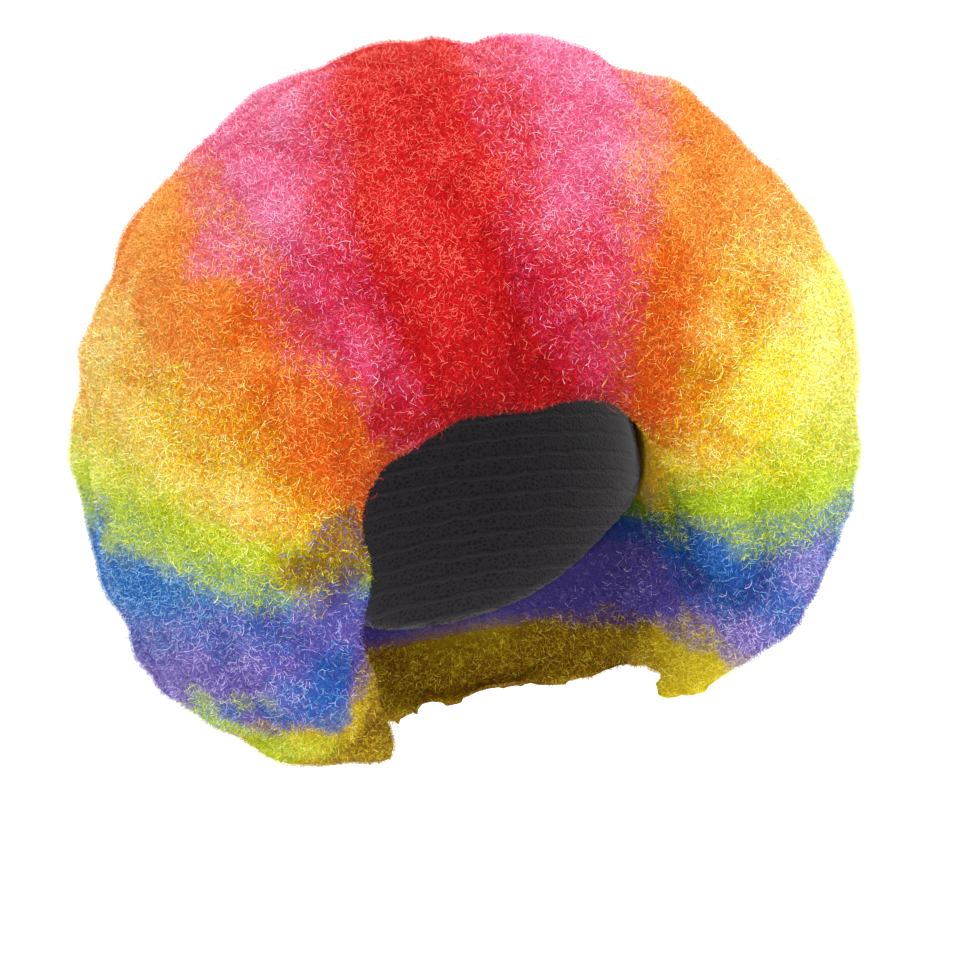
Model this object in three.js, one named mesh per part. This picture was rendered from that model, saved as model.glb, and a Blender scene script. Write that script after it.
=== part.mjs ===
// Giant rainbow afro wig: a stretch cap, and on it a deep ball of frizzed hair sewn in coloured sections.
// Millimetres, +Z up, the face towards -Y. The origin is the crown of the head, inside the top of the cap.
import * as THREE from "three";

const { degToRad, radToDeg, lerp, clamp, smoothstep } = THREE.MathUtils;

// Eggs: the room for head and neck, and the smooth ball of hair behind its widest plane
const HEAD = {
  centre: new THREE.Vector3(0, 0, -100),
  halfWidth: 78,
  halfLength: 99,
  above: 100,
  below: 190,
};
const BALL = {
  centre: new THREE.Vector3(0, -30, -75),
  halfWidth: 182,
  halfLength: 200,
  above: 178,
  below: 176,
};

// Cap of stretch net, and the slack that the sewn pieces keep between them
const CAP_WALL = 2;
const CAP_SLACK = 0.9;
const SEAM_SLACK = 0.35;
const CAP_COLOUR = "#141214";

// Edge of the cap from the forehead round one ear to the nape, as seen from the head's middle; mirrored
const CAP_EDGE = [
  { place: "forehead", x: 0, y: -95, z: -54 },
  { place: "brow", x: 46, y: -76, z: -62 },
  { place: "temple", x: 70, y: -48, z: -84 },
  { place: "before the ear", x: 78, y: -26, z: -116 },
  { place: "behind the ear", x: 74, y: 30, z: -146 },
  { place: "below the ear", x: 50, y: 70, z: -174 },
  { place: "nape", x: 0, y: 89, z: -184 },
];
const CAP_COLUMNS = 32;
const CAP_ROWS = 8;
const CAP_MIDDLE = new THREE.Vector3(0, -25, -75);
const BACK_OF_CROWN = new THREE.Vector3(0, 0.67, 0.74).normalize();

// The seams fan out from a line along Y at this height, and turn round the back behind the widest plane;
// ahead of the limit the line has left the head, and the wall is measured from there
const SEAM_LINE = new THREE.Vector3(0, BALL.centre.y, -150);
const WALL_LIMIT_Y = -98;

// Front of the hair by fan angle: how far ahead it swells, and the hairline where it turns in to the face;
// a lip keeps the hair thick there, and round the neck it rolls under to a blunt rim
const FRONT = [
  { angle: 0, swellY: -136, swellReach: 148, edgeY: -102, edgeReach: 80 },
  { angle: 28, swellY: -135, swellReach: 150, edgeY: -95, edgeReach: 89 },
  { angle: 52, swellY: -130, swellReach: 138, edgeY: -80, edgeReach: 91 },
  { angle: 73, swellY: -124, swellReach: 124, edgeY: -75, edgeReach: 80 },
  { angle: 106, swellY: -110, swellReach: 112, edgeY: -60, edgeReach: 76 },
  { angle: 138, swellY: -64, swellReach: 112, edgeY: -38, edgeReach: 90 },
];
const FRONT_EASE = 0.5;
const LIP = 3;
const RIM_ROLL = degToRad(36);
const RIM_TUCK = 0.95;
const LEAN = { by: 8, from: degToRad(55), to: degToRad(95) };

// Steps along a section: over the swell in front, in to the face, and round the back
const SWELL_STEPS = 6;
const FACE_STEPS = 4;
const FRONT_STEPS = SWELL_STEPS + FACE_STEPS;
const SWELL_SHARE = SWELL_STEPS / FRONT_STEPS;
const BACK_STEPS = 32;

// Puffs rise in brick rows along each section, each as long as a few steps, and die out towards the face
const PUFF_HEIGHT = 5.5;
const PUFF_STEPS = 4;
const PUFF_VARIETY = { by: 0.25, along: 2.4, across: 1.7 };
const PUFF_FADE = 4;
const FRONT_STRETCH = 1.5;

// Sections from the crown down: rows of points, rows of puffs, and the lower seam's angle from upright, in
// degrees. Seen from in front: at the face, swell and side on the left, at the back, and at the side, swell
// and face on the right
const SECTIONS = [
  { name: "red", colour: "#d0161f", rows: 8, puffRows: 2, seam: [28, 24, 10, 12, 5, 2, 26] },
  { name: "pink", colour: "#e8467c", rows: 8, puffRows: 2, seam: [33, 35.5, 28, 37, 24, 20.5, 32] },
  { name: "orange", colour: "#ee7d1c", rows: 8, puffRows: 2, seam: [66, 64, 57, 57, 51, 43, 50] },
  { name: "yellow", colour: "#f9ec22", rows: 4, puffRows: 1, seam: [71, 71.5, 62, 70, 75, 70, 64] },
  { name: "green", colour: "#b4d81e", rows: 4, puffRows: 1, seam: [76, 79, 68, 80, 82, 84, 76] },
  { name: "blue", colour: "#1c5ac8", rows: 4, puffRows: 1, seam: [81, 84, 86, 90, 88, 99, 103] },
  { name: "purple", colour: "#7458b8", rows: 4, puffRows: 1, seam: [100, 107, 104, 107, 115, 116, 110] },
  { name: "gold", colour: "#d6bc16", rows: 6, puffRows: 1, seam: [137, 136, 135, 124, 129, 136.5, 141] },
];
const [RED, ...AROUND] = SECTIONS;
const RIM = SECTIONS[SECTIONS.length - 1].seam;
const HAIR_ROUGHNESS = 0.7;
const CAP_ROUGHNESS = 0.85;

/** Egg with the same centre that is larger on every side. */
function grown(egg, by) {
  return {
    centre: egg.centre,
    halfWidth: egg.halfWidth + by,
    halfLength: egg.halfLength + by,
    above: egg.above + by,
    below: egg.below + by,
  };
}

const CAP_OUTSIDE = grown(HEAD, CAP_WALL);
const HAIR_WALL = grown(HEAD, CAP_WALL + CAP_SLACK);

/** Reach from a point inside an egg to its surface along a ray. */
function eggReach(egg, origin, ray) {
  const hit = (height) => {
    const scale = new THREE.Vector3(1 / egg.halfWidth, 1 / egg.halfLength, 1 / height);
    const start = origin.clone().sub(egg.centre).multiply(scale);
    const step = ray.clone().multiply(scale);
    const along = start.dot(step);
    return (Math.sqrt(along ** 2 + step.lengthSq() * (1 - start.lengthSq())) - along) / step.lengthSq();
  };
  const upper = hit(egg.above);
  return origin.z + upper * ray.z >= egg.centre.z ? upper : hit(egg.below);
}

/** Ray of a fan angle on a bearing, which is 0 straight back and a right angle to the right. */
function fanRay(angle, bearing) {
  const sideways = Math.sin(angle);
  return new THREE.Vector3(sideways * Math.sin(bearing), sideways * Math.cos(bearing), Math.cos(angle));
}

/** Point at a reach along a ray that leaves the seam line at y. */
function pointFrom(y, ray, reach) {
  return new THREE.Vector3(0, y, SEAM_LINE.z).addScaledVector(ray, reach);
}

/** Row of the front table at a fan angle, smoothly between the rows given. */
function frontAt(angle) {
  const degrees = clamp(radToDeg(angle), FRONT[0].angle, FRONT[FRONT.length - 1].angle);
  const next = clamp(FRONT.findIndex((row) => row.angle >= degrees), 1, FRONT.length - 1);
  const [before, after] = [FRONT[next - 1], FRONT[next]];
  const straight = (degrees - before.angle) / (after.angle - before.angle);
  const share = lerp(straight, smoothstep(degrees, before.angle, after.angle), FRONT_EASE);
  const between = (column) => lerp(before[column], after[column], share);
  return {
    swellY: between("swellY"),
    swellReach: between("swellReach"),
    edgeY: between("edgeY"),
    edgeReach: between("edgeReach"),
  };
}

/** Angle of a seam at a station. */
function seamAngle([leftFace, leftSwell, left, back, right, rightSwell, rightFace], { bearing, ahead }) {
  const [side, swell, face] = bearing < 0 ? [left, leftSwell, leftFace] : [right, rightSwell, rightFace];
  const round = lerp(back, side, Math.sin(bearing) ** 2);
  const swelled = lerp(round, swell, smoothstep(ahead, 0, SWELL_SHARE));
  return degToRad(lerp(swelled, face, smoothstep(ahead, SWELL_SHARE, 1)));
}

/** Reach of the wall that lies on the cap and goes on down round the neck. */
function wallReach(y, ray) {
  const origin = new THREE.Vector3(0, Math.max(y, WALL_LIMIT_Y), SEAM_LINE.z);
  return eggReach(HAIR_WALL, origin, ray);
}

/** Share of its full depth that the hair keeps at a station, least at the rim round the neck. */
function depthShare(ray, station) {
  const towardsRim = (Math.acos(ray.z) - seamAngle(RIM, station)) / RIM_ROLL + 1;
  return Math.sqrt(1 - (RIM_TUCK * clamp(towardsRim, 0, 1)) ** 2);
}

/** Reach of the hair at the widest plane and behind it, with a puff's rise; low down it leans to the left. */
function ballReach(ray, station, rise) {
  const lean = LEAN.by * Math.sin(station.bearing) * smoothstep(Math.acos(ray.z), LEAN.from, LEAN.to);
  const ball = eggReach(BALL, SEAM_LINE, ray) - lean + rise;
  return lerp(wallReach(SEAM_LINE.y, ray) + LIP, ball, depthShare(ray, station));
}

/** Outer skin along a ray at a station: where the ray starts and how far it reaches, with a puff's rise. */
function outerSkin(ray, station, rise) {
  if (station.ahead === 0) {
    return { y: SEAM_LINE.y, reach: ballReach(ray, station, rise) };
  }
  const { swellY, swellReach, edgeY, edgeReach } = frontAt(Math.acos(ray.z));
  const depth = depthShare(ray, station);
  const lipY = edgeY - LIP;
  const fullY = lerp(lipY, swellY - rise, depth);
  const fullReach = lerp(edgeReach + LIP, swellReach, depth);
  const step = station.ahead * FRONT_STEPS;
  if (step <= SWELL_STEPS) {
    const turn = (Math.PI / 2) * (step / SWELL_STEPS);
    return {
      y: lerp(SEAM_LINE.y, fullY, Math.sin(turn)),
      reach: lerp(fullReach, ballReach(ray, station, rise), Math.cos(turn)),
    };
  }
  const turn = (Math.PI / 2) * ((step - SWELL_STEPS) / FACE_STEPS);
  return { y: lerp(lipY, fullY, Math.cos(turn)), reach: lerp(fullReach, edgeReach, Math.sin(turn)) };
}

/** Inner skin along a ray at a station: the wall on the cap, and ahead of the cap level to the hairline. */
function innerSkin(ray, station) {
  const { edgeY, edgeReach } = frontAt(Math.acos(ray.z));
  const y = lerp(SEAM_LINE.y, edgeY, station.ahead);
  const level = lerp(wallReach(SEAM_LINE.y, ray), edgeReach, Math.sin((Math.PI / 2) * station.ahead));
  return { y, reach: Math.max(wallReach(y, ray), level) };
}

/** Height of the puffs at a share of a section's rows and at a station. */
function puffRise(rowShare, puffRows, { run, ahead }) {
  const row = rowShare * puffRows;
  const brick = (Math.floor(row) % 2) / 2;
  const along = run / PUFF_STEPS + brick;
  const dome = (x) => 1 - (2 * (x - Math.floor(x)) - 1) ** 2;
  const pick = PUFF_VARIETY.along * Math.floor(along) + PUFF_VARIETY.across * Math.floor(row);
  const size = 1 - PUFF_VARIETY.by * (1 - Math.sin(pick));
  return PUFF_HEIGHT * size * (1 - ahead ** PUFF_FADE) * Math.sqrt(dome(row) * dome(along));
}

/** Stations from the left of the face round the back to the right, with the steps run from the back. */
function makeStations() {
  const front = (side) =>
    Array.from({ length: FRONT_STEPS }, (_, step) => ({
      bearing: (side * Math.PI) / 2,
      ahead: (step + 1) / FRONT_STEPS,
      run: side * (BACK_STEPS / 2 + FRONT_STRETCH * (step + 1)),
    }));
  const round = Array.from({ length: BACK_STEPS + 1 }, (_, step) => ({
    bearing: lerp(-Math.PI / 2, Math.PI / 2, step / BACK_STEPS),
    ahead: 0,
    run: step - BACK_STEPS / 2,
  }));
  return [...front(-1).reverse(), ...round, ...front(1)];
}

/** Closed slab between two skins, each a grid of points by column and row. */
function slab(outer, inner) {
  const columns = outer.length;
  const rows = outer[0].length;
  const points = [...outer.flat(), ...inner.flat()];
  const out = (column, row) => column * rows + row;
  const into = (column, row) => columns * rows + out(column, row);
  const triangles = [];
  const split = (a, b, c, d, fromA) => triangles.push(...(fromA ? [a, b, c, a, c, d] : [a, b, d, b, c, d]));
  const skin = (a, b, c, d) =>
    split(a, b, c, d, points[a].distanceTo(points[c]) <= points[b].distanceTo(points[d]));
  for (let c = 0; c + 1 < columns; c += 1) {
    const last = rows - 1;
    // Both sides of a seam are split alike, so that they stay parallel where the seam twists
    const towardsFace = inner[c][0].y >= inner[c + 1][0].y;
    split(out(c, 0), into(c, 0), into(c + 1, 0), out(c + 1, 0), towardsFace);
    split(out(c, last), out(c + 1, last), into(c + 1, last), into(c, last), towardsFace);
    for (let r = 0; r < last; r += 1) {
      skin(out(c, r), out(c + 1, r), out(c + 1, r + 1), out(c, r + 1));
      skin(into(c, r), into(c, r + 1), into(c + 1, r + 1), into(c + 1, r));
    }
  }
  for (let r = 0; r + 1 < rows; r += 1) {
    skin(into(0, r), out(0, r), out(0, r + 1), into(0, r + 1));
    skin(out(columns - 1, r), into(columns - 1, r), into(columns - 1, r + 1), out(columns - 1, r + 1));
  }
  const geometry = new THREE.BufferGeometry().setFromPoints(points);
  geometry.setIndex(triangles);
  return geometry;
}

/** Section that runs from cheek to cheek round the back, between the seam above it and its own. */
function sectionGeometry({ rows, puffRows, seam }, seamAbove) {
  const stations = makeStations();
  const rollsUnder = seam === RIM;
  const grid = (skin) =>
    stations.map((station) =>
      Array.from({ length: rows + 1 }, (_, row) => {
        const share = rollsUnder ? Math.sin((Math.PI / 2) * (row / rows)) : row / rows;
        const angle = lerp(seamAngle(seamAbove, station), seamAngle(seam, station), share);
        const rise = puffRise(row / rows, puffRows, station);
        const { y, reach } = skin(fanRay(angle, station.bearing), station, rise);
        const inset = (row === 0) - (row === rows && !rollsUnder);
        const inside = angle + (inset * SEAM_SLACK) / 2 / reach;
        return pointFrom(y, fanRay(inside, station.bearing), reach);
      }),
    );
  return slab(grid(outerSkin), grid(innerSkin));
}

/** Strip over the crown from its rounded end to the forehead, between the two arms of its seam. */
function stripGeometry({ rows, puffRows, seam }) {
  const stations = makeStations().slice(FRONT_STEPS + BACK_STEPS / 2 + 1);
  const edgeRay = (skin, station) => {
    const angle = seamAngle(seam, station);
    const { reach } = skin(fanRay(angle, station.bearing), station, 0);
    return fanRay(angle - SEAM_SLACK / 2 / reach, station.bearing);
  };
  const grid = (skin) =>
    stations.map((station, index) => {
      const left = edgeRay(skin, { ...station, bearing: -station.bearing });
      const right = edgeRay(skin, station);
      const pastEnd = Math.min(index / PUFF_STEPS, 1);
      return Array.from({ length: rows + 1 }, (_, row) => {
        const ray = left.clone().lerp(right, row / rows).normalize();
        const { y, reach } = skin(ray, station, pastEnd * puffRise(row / rows, puffRows, station));
        return pointFrom(y, ray, reach);
      });
    });
  return slab(grid(outerSkin), grid(innerSkin));
}

/** Smooth loop of evenly spaced points through a table of places and its mirror image. */
function edgeLoop(table, count) {
  const half = table.map(({ x, y, z }) => new THREE.Vector3(x, y, z));
  const mirrored = half.slice(1, -1).reverse().map(({ x, y, z }) => new THREE.Vector3(-x, y, z));
  return new THREE.CatmullRomCurve3([...half, ...mirrored], true).getSpacedPoints(count).slice(0, count);
}

/** One column of the cap: from the back of the crown over its outside to the edge, and back inside. */
function capColumn(edge) {
  const offset = edge.clone().sub(CAP_MIDDLE);
  const angle = offset.angleTo(BACK_OF_CROWN);
  const across = offset.addScaledVector(BACK_OF_CROWN, -offset.dot(BACK_OF_CROWN)).normalize();
  const skin = (egg, row) => {
    const turn = (angle * row) / CAP_ROWS;
    const ray = BACK_OF_CROWN.clone().multiplyScalar(Math.cos(turn)).addScaledVector(across, Math.sin(turn));
    return CAP_MIDDLE.clone().addScaledVector(ray, eggReach(egg, CAP_MIDDLE, ray));
  };
  const outside = Array.from({ length: CAP_ROWS + 1 }, (_, row) => skin(CAP_OUTSIDE, row));
  const inside = Array.from({ length: CAP_ROWS + 1 }, (_, row) => skin(HEAD, CAP_ROWS - row));
  return [...outside, ...inside];
}

/** Closed bowl whose columns all run from the same outer point to the same inner point. */
function bowl(columns) {
  const last = columns[0].length - 1;
  const rows = last - 1;
  const points = [columns[0][0], columns[0][last], ...columns.flatMap((column) => column.slice(1, last))];
  const at = (column, row) => 2 + (column % columns.length) * rows + row;
  const triangles = [];
  for (let column = 0; column < columns.length; column += 1) {
    triangles.push(0, at(column, 0), at(column + 1, 0));
    for (let row = 0; row + 1 < rows; row += 1) {
      triangles.push(at(column, row), at(column, row + 1), at(column + 1, row + 1));
      triangles.push(at(column, row), at(column + 1, row + 1), at(column + 1, row));
    }
    triangles.push(at(column, rows - 1), 1, at(column + 1, rows - 1));
  }
  const geometry = new THREE.BufferGeometry().setFromPoints(points);
  geometry.setIndex(triangles);
  return geometry;
}

/** Named mesh in its colour. */
function meshOf(name, geometry, color, roughness) {
  geometry.computeVertexNormals();
  const mesh = new THREE.Mesh(geometry, new THREE.MeshStandardMaterial({ color, roughness, metalness: 0 }));
  mesh.name = name;
  return mesh;
}

const wig = new THREE.Group();
wig.name = "afro_wig";
wig.add(meshOf("cap", bowl(edgeLoop(CAP_EDGE, CAP_COLUMNS).map(capColumn)), CAP_COLOUR, CAP_ROUGHNESS));
wig.add(meshOf("hair_red", stripGeometry(RED), RED.colour, HAIR_ROUGHNESS));
AROUND.forEach((section, index) => {
  const geometry = sectionGeometry(section, SECTIONS[index].seam);
  wig.add(meshOf(`hair_${section.name}`, geometry, section.colour, HAIR_ROUGHNESS));
});

export default wig;
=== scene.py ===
"""Looks of a giant rainbow afro wig: a cloud of fine frizzed fibre in coloured bands on a stretch net cap.

Sizes are in metres and angles in radians, and colours are on the 0 to 255 display scale.
"""

import logging
import math
from dataclasses import dataclass, field
from enum import Enum, IntEnum

import bmesh
import bpy
import numpy as np
from mathutils import Matrix, Vector, noise
from mathutils.bvhtree import BVHTree


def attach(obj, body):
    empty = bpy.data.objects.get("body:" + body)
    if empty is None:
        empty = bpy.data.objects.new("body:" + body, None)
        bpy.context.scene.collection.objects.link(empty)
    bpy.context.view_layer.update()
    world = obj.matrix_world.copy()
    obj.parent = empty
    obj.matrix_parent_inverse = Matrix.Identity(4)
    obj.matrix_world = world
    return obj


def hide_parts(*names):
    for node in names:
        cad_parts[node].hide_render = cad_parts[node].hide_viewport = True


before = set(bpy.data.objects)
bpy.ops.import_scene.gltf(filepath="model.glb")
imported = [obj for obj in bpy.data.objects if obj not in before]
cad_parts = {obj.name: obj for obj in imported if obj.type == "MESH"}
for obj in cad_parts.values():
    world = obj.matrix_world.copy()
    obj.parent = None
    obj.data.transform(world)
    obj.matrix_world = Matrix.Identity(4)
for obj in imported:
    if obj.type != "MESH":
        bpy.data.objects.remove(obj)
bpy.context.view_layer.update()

LOG = logging.getLogger("wig")
Rgb = tuple[float, float, float]
BODY = "root"
TINY = 1e-6
# The display scale and its curve.
DISPLAY_TOP = 255
CURVE_KNEE = 0.04045
CURVE_SLOPE = 12.92
CURVE_LIFT = 0.055
CURVE_POWER = 2.4


class Band(IntEnum):
    """Coloured bands of hair, from the crown down."""

    RED = 0
    PINK = 1
    ORANGE = 2
    YELLOW = 3
    GREEN = 4
    BLUE = 5
    PURPLE = 6
    GOLD = 7

    @property
    def title(self) -> str:
        """Name of the band in piece names."""
        return self.name.lower()

    @property
    def node(self) -> str:
        """Name of the band's solid."""
        return f"hair_{self.title}"


class Side(IntEnum):
    """Sides of the wig as it is worn, by the sign of X."""

    RIGHT = -1
    BOTH = 0
    LEFT = 1

    @property
    def ending(self) -> str:
        """What a piece on that side has at the end of its name."""
        return "" if self is Side.BOTH else f"_{self.name.lower()}"


class MathOp(str, Enum):
    """Sums that the node trees use."""

    ADD = "ADD"
    SUBTRACT = "SUBTRACT"
    MULTIPLY = "MULTIPLY"
    DIVIDE = "DIVIDE"
    SINE = "SINE"
    COSINE = "COSINE"
    ABSOLUTE = "ABSOLUTE"
    LESS = "LESS_THAN"
    GREATER = "GREATER_THAN"


class Mixing(str, Enum):
    """Ways of mixing two colours."""

    PLAIN = "MIX"
    MULTIPLY = "MULTIPLY"


class Draw(IntEnum):
    """Random draws that each fibre makes, in order."""

    SHAPE = 1
    SCALE = 2
    DYE = 3
    TONE = 4
    GLINT = 5
    SPIN = 6
    TILT = 7


def linear(colour: Rgb) -> Rgb:
    """Linear light of a colour given on the 0 to 255 display scale.

    Args:
        colour: Red, green and blue from 0 to 255.

    Returns:
        The same colour in linear light, from 0 to 1.
    """
    shares = (value / DISPLAY_TOP for value in colour)
    return tuple(
        s / CURVE_SLOPE if s <= CURVE_KNEE else ((s + CURVE_LIFT) / (1.0 + CURVE_LIFT)) ** CURVE_POWER
        for s in shares
    )


@dataclass(frozen=True)
class Dye:
    """Tones of one dyed fibre: in painted shade deep in the hair, in its body, in painted light, and as
    painted highlights on single bright fibres.
    """

    in_shade: Rgb
    body: Rgb
    light: Rgb
    glint: Rgb

    STOPS = (0.0, 0.5, 1.0)

    def tones(self) -> np.ndarray:
        """The four tones in linear light, one row each."""
        return np.array([linear(c) for c in (self.in_shade, self.body, self.light, self.glint)])

    def shaded(self, tone: np.ndarray) -> np.ndarray:
        """Colours of the fibre at tones from 0, painted shade deep in the hair, to 1, painted light.

        Args:
            tone: One tone for each point.

        Returns:
            One linear colour for each point.
        """
        rows = self.tones()[: len(self.STOPS)]
        return np.stack([np.interp(tone, self.STOPS, column) for column in rows.T], axis=1)


# Each dye: painted shade deep in the hair, body, painted light and painted highlight.
DYES: dict[Band, Dye] = {
    Band.RED: Dye((150, 4, 14), (206, 16, 24), (222, 38, 38), (250, 126, 106)),
    Band.PINK: Dye((192, 18, 50), (228, 52, 96), (242, 130, 174), (252, 188, 214)),
    Band.ORANGE: Dye((190, 52, 6), (226, 88, 12), (248, 160, 60), (255, 194, 106)),
    Band.YELLOW: Dye((226, 164, 10), (250, 226, 20), (254, 252, 140), (255, 255, 190)),
    Band.GREEN: Dye((74, 104, 16), (178, 206, 24), (212, 230, 60), (240, 248, 132)),
    Band.BLUE: Dye((14, 50, 126), (34, 94, 184), (54, 124, 198), (150, 198, 236)),
    Band.PURPLE: Dye((68, 58, 140), (98, 84, 176), (138, 116, 198), (210, 196, 238)),
    Band.GOLD: Dye((120, 70, 10), (208, 176, 20), (240, 220, 42), (244, 228, 92)),
}


@dataclass(frozen=True)
class DyeRun:
    """How far one band's dye runs into another, on the right and the left of the wig as it is worn."""

    into: Band
    source: Band
    right: float
    left: float


USUAL_RUN = 0.007
DYE_RUNS: tuple[DyeRun, ...] = (
    DyeRun(Band.RED, Band.PINK, 0.005, 0.006),
    DyeRun(Band.PINK, Band.RED, 0.012, 0.015),
    DyeRun(Band.PINK, Band.ORANGE, 0.006, 0.009),
    DyeRun(Band.ORANGE, Band.YELLOW, 0.015, 0.022),
    DyeRun(Band.YELLOW, Band.ORANGE, 0.008, 0.010),
    DyeRun(Band.YELLOW, Band.GREEN, 0.010, 0.010),
    DyeRun(Band.GREEN, Band.BLUE, 0.004, 0.004),
    DyeRun(Band.BLUE, Band.GREEN, 0.005, 0.010),
    DyeRun(Band.BLUE, Band.PURPLE, 0.008, 0.012),
    DyeRun(Band.PURPLE, Band.BLUE, 0.009, 0.011),
    DyeRun(Band.PURPLE, Band.GOLD, 0.003, 0.003),
    DyeRun(Band.GOLD, Band.PURPLE, 0.003, 0.003),
)


@dataclass(frozen=True)
class View:
    """How the wig is seen in the picture: the camera's place, its tilt, and its scale at the aim."""

    aim: tuple[float, float, float] = (0.0, 0.0, -0.110)
    aim_pixel: tuple[float, float] = (470.0, 491.6)
    azimuth: float = math.radians(-15.0)
    elevation: float = math.radians(7.0)
    roll: float = math.radians(-9.0)
    distance: float = 2.2
    pixels_per_metre: float = 2123.0
    image: float = 970.0

    @property
    def focal_pixels(self) -> float:
        """Focal length in pixels."""
        return self.pixels_per_metre * self.distance

    def axes(self) -> tuple[Vector, Vector, Vector]:
        """The camera's right, up and back.

        Returns:
            Three unit vectors.
        """
        turn, rise = self.azimuth, self.elevation
        back = Vector((math.sin(turn) * math.cos(rise), -math.cos(turn) * math.cos(rise), math.sin(rise)))
        level = Vector((math.cos(turn), math.sin(turn), 0.0))
        upright = back.cross(level)
        right = level * math.cos(self.roll) + upright * math.sin(self.roll)
        up = upright * math.cos(self.roll) - level * math.sin(self.roll)
        return right, up, back

    def eye(self) -> Vector:
        """Where the camera stands, so that the aim is seen at its pixel.

        Returns:
            The place.
        """
        right, up, back = self.axes()
        aside = (self.image / 2 - self.aim_pixel[0]) / self.pixels_per_metre
        above = (self.aim_pixel[1] - self.image / 2) / self.pixels_per_metre
        return Vector(self.aim) + back * self.distance + right * aside + up * above

    def seen(self, skin: BVHTree, pixel: tuple[int, int]) -> Vector:
        """Place on a skin that is seen at a pixel.

        Args:
            skin: Search tree of the skin.
            pixel: Column and row in the picture.

        Returns:
            The place.

        Raises:
            ValueError: The pixel is off the skin.
        """
        right, up, back = self.axes()
        column, row = pixel
        way = right * (column - self.image / 2) + up * (self.image / 2 - row) - back * self.focal_pixels
        place = skin.ray_cast(self.eye(), way.normalized())[0]
        if place is None:
            raise ValueError(f"no hair is seen at {pixel}")
        return place


@dataclass(frozen=True)
class StrayLock:
    """A lock seen at a pixel of the picture.

    Another band's colour is brushed over it with a strength, and a lift paints light or shade over it, making
    its hair lighter or deeper.
    """

    pixel: tuple[int, int]
    radius: float
    band: Band
    strength: float = 3.0
    lift: float = 0.0


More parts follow.
